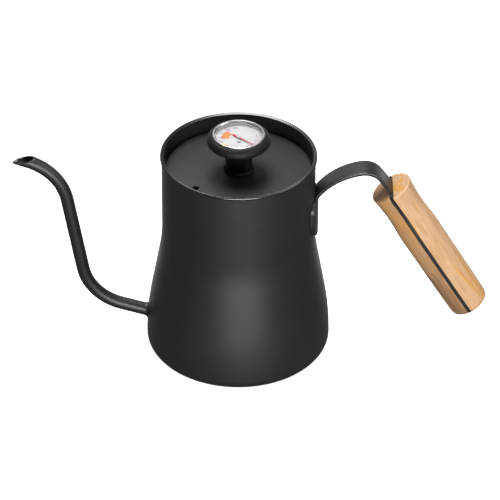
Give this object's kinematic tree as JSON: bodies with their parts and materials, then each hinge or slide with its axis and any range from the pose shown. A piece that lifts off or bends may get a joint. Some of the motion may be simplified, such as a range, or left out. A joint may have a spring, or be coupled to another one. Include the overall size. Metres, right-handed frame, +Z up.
{
  "type": "gooseneck kettle",
  "caption": "Gooseneck pour-over kettle with a flared black vessel, recessed lift-off lid, dial thermometer in the lid knob, strap handle and split wooden grip.",
  "frame": {"origin": "centre of the flat base, on the vessel's axis", "axes": "+Z up along the vessel's axis, +X towards the handle, -X towards the spout"},
  "size_m": [0.2804, 0.1096, 0.1468],
  "materials": {
    "black_powder_coat": "matte",
    "bare_steel": "satin",
    "polished_steel": "polished",
    "core_aluminium": "satin",
    "pale_wood": "satin",
    "brass": "satin",
    "silicone": "matte",
    "knob_plastic": "matte",
    "clear_glass": "polished",
    "dial_enamel": "satin",
    "needle_red": "satin"
  },
  "bodies": {
    "kettle": {"body_shell": "black_powder_coat", "body_floor": "bare_steel", "base_core": "core_aluminium", "base_cap": "black_powder_coat", "lid_seat_ring": "bare_steel", "spout_tube": "black_powder_coat", "handle_strap": "black_powder_coat", "grip_outer_half": "pale_wood", "grip_inner_half": "pale_wood", "grip_screws": "bare_steel", "grip_inserts": "brass"},
    "lid_seal": {"lid_seal": "silicone"},
    "lid": {"lid_cover": "black_powder_coat", "lid_skirt": "bare_steel", "knob_body": "knob_plastic", "knob_washer": "bare_steel", "knob_nut": "bare_steel", "stem_grommet": "silicone"},
    "thermometer": {"thermometer_case": "bare_steel", "thermometer_bezel": "polished_steel", "thermometer_lens": "clear_glass", "lens_gasket": "silicone", "dial_face": "dial_enamel", "dial_retaining_ring": "polished_steel", "stem_bushing": "brass", "probe_stem": "bare_steel", "bimetal_coil": "bare_steel"},
    "pointer": {"pointer": "needle_red", "pointer_shaft": "bare_steel"}
  },
  "joints": [
    {"name": "lid_lift", "type": "slide", "parent": "kettle", "child": "lid_seal", "axis": [0, 0, 1], "range_m": [0, 0.13]},
    {"name": "lid_turn", "type": "hinge", "parent": "lid_seal", "child": "lid", "pos_m": [0, 0, 0.1223], "axis": [0, 0, 1], "continuous": true},
    {"name": "thermometer_turn", "type": "hinge", "parent": "lid", "child": "thermometer", "pos_m": [0, 0, 0.1433], "axis": [0, 0, 1], "continuous": true},
    {"name": "pointer_turn", "type": "hinge", "parent": "thermometer", "child": "pointer", "pos_m": [0, 0, 0.1441], "axis": [0, 0, -1], "range_deg": [-54, 216]}
  ]
}
